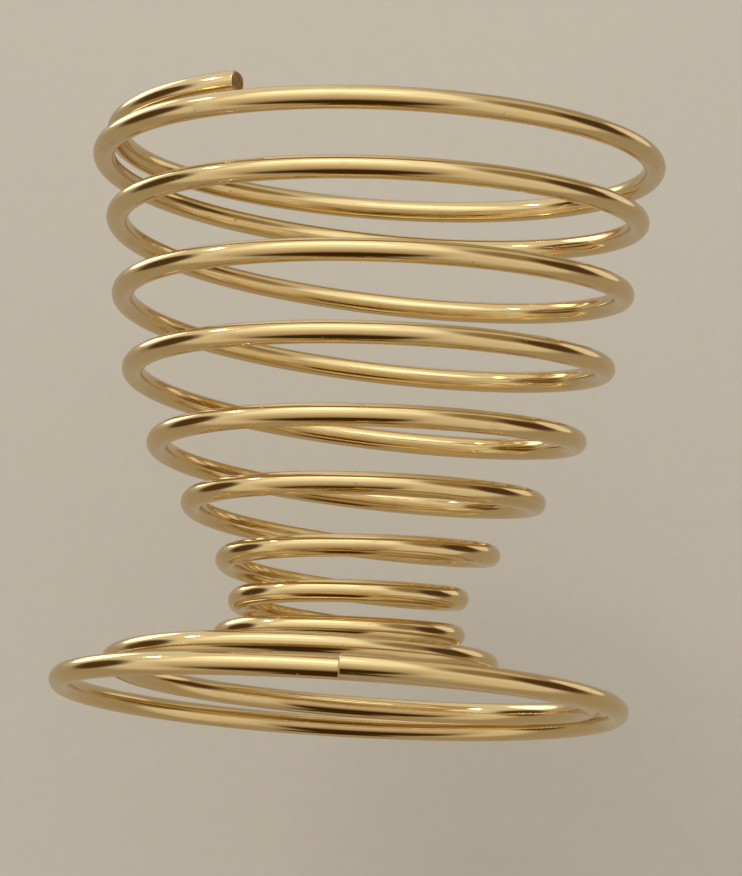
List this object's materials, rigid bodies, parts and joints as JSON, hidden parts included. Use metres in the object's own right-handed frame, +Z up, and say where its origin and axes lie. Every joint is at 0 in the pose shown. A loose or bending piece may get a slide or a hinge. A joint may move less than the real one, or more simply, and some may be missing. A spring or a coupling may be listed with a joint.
{
  "type": "spring wire stand",
  "caption": "Springy stand wound from one round brass wire: an open basket of spaced turns on a narrow waist and a flat closed foot ring.",
  "frame": {"origin": "middle of the footprint box on the surface the foot ring stands on", "axes": "+Z up from the foot ring to the rim, +Y towards the far side, away from both wire ends, +X to the right as seen from the wire ends"},
  "size_m": [0.0524, 0.0542, 0.0527],
  "materials": {
    "brass_wire": "bright drawn wire with a thin clear lacquer"
  },
  "bodies": {
    "foot": {"foot_end": "brass_wire", "foot_left": "brass_wire", "foot_inner_right": "brass_wire", "flare_left": "brass_wire", "flare_right": "brass_wire", "waist_left_2": "brass_wire", "waist_right_2": "brass_wire", "waist_left_1": "brass_wire"},
    "waist_right_1_turn": {"waist_right_1": "brass_wire"},
    "basket_left_6_turn": {"basket_left_6": "brass_wire"},
    "basket_right_6_turn": {"basket_right_6": "brass_wire"},
    "basket_left_5_turn": {"basket_left_5": "brass_wire"},
    "basket_right_5_turn": {"basket_right_5": "brass_wire"},
    "basket_left_4_turn": {"basket_left_4": "brass_wire"},
    "basket_right_4_turn": {"basket_right_4": "brass_wire"},
    "basket_left_3_turn": {"basket_left_3": "brass_wire"},
    "basket_right_3_turn": {"basket_right_3": "brass_wire"},
    "basket_left_2_turn": {"basket_left_2": "brass_wire"},
    "basket_right_2_turn": {"basket_right_2": "brass_wire"},
    "basket_left_1_turn": {"basket_left_1": "brass_wire"},
    "basket_right_1_turn": {"basket_right_1": "brass_wire"},
    "rim": {"rim_left": "brass_wire", "rim_right": "brass_wire", "rim_end": "brass_wire"}
  },
  "joints": [
    {"name": "waist_tilt_side", "type": "hinge", "parent": "foot", "child": "waist_right_1_turn", "pos_m": [-0.00034, 0.00096, 0.0092], "axis": [0, 1, 0], "range_deg": [-2.5, 2.5], "stiffness_Nm_per_rad": 0.27},
    {"name": "waist_tilt_front", "type": "hinge", "parent": "waist_right_1_turn", "child": "basket_left_6_turn", "pos_m": [-0.00029, 0.0008, 0.012], "axis": [1, 0, 0], "range_deg": [-2.5, 2.5], "stiffness_Nm_per_rad": 0.27},
    {"name": "squeeze_right_6", "type": "slide", "parent": "basket_left_6_turn", "child": "basket_right_6_turn", "axis": [0, 0, -1], "range_m": [-0.0006, 0.001], "stiffness_N_per_m": 12000},
    {"name": "squeeze_left_5", "type": "slide", "parent": "basket_right_6_turn", "child": "basket_left_5_turn", "axis": [0, 0, -1], "range_m": [-0.0006, 0.0011], "stiffness_N_per_m": 7700},
    {"name": "squeeze_right_5", "type": "slide", "parent": "basket_left_5_turn", "child": "basket_right_5_turn", "axis": [0, 0, -1], "range_m": [-0.0006, 0.0012], "stiffness_N_per_m": 5300},
    {"name": "squeeze_left_4", "type": "slide", "parent": "basket_right_5_turn", "child": "basket_left_4_turn", "axis": [0, 0, -1], "range_m": [-0.0006, 0.0012], "stiffness_N_per_m": 3800},
    {"name": "basket_tilt_side", "type": "hinge", "parent": "basket_left_4_turn", "child": "basket_right_4_turn", "pos_m": [-0.0001, 0.00022, 0.0228], "axis": [0, 1, 0], "range_deg": [-4, 4], "stiffness_Nm_per_rad": 0.08},
    {"name": "basket_tilt_front", "type": "hinge", "parent": "basket_right_4_turn", "child": "basket_left_3_turn", "pos_m": [0, -0.00007, 0.02821], "axis": [1, 0, 0], "range_deg": [-4, 4], "stiffness_Nm_per_rad": 0.08},
    {"name": "squeeze_right_3", "type": "slide", "parent": "basket_left_3_turn", "child": "basket_right_3_turn", "axis": [0, 0, -1], "range_m": [-0.0006, 0.0015], "stiffness_N_per_m": 2000},
    {"name": "squeeze_left_2", "type": "slide", "parent": "basket_right_3_turn", "child": "basket_left_2_turn", "axis": [0, 0, -1], "range_m": [-0.0006, 0.0016], "stiffness_N_per_m": 1800},
    {"name": "squeeze_right_2", "type": "slide", "parent": "basket_left_2_turn", "child": "basket_right_2_turn", "axis": [0, 0, -1], "range_m": [-0.0006, 0.0016], "stiffness_N_per_m": 1700},
    {"name": "squeeze_left_1", "type": "slide", "parent": "basket_right_2_turn", "child": "basket_left_1_turn", "axis": [0, 0, -1], "range_m": [-0.0006, 0.0016], "stiffness_N_per_m": 1500},
    {"name": "squeeze_right_1", "type": "slide", "parent": "basket_left_1_turn", "child": "basket_right_1_turn", "axis": [0, 0, -1], "range_m": [-0.0006, 0.0014], "stiffness_N_per_m": 1500},
    {"name": "squeeze_rim", "type": "slide", "parent": "basket_right_1_turn", "child": "rim", "axis": [0, 0, -1], "range_m": [-0.0006, 0.001], "stiffness_N_per_m": 1300}
  ]
}
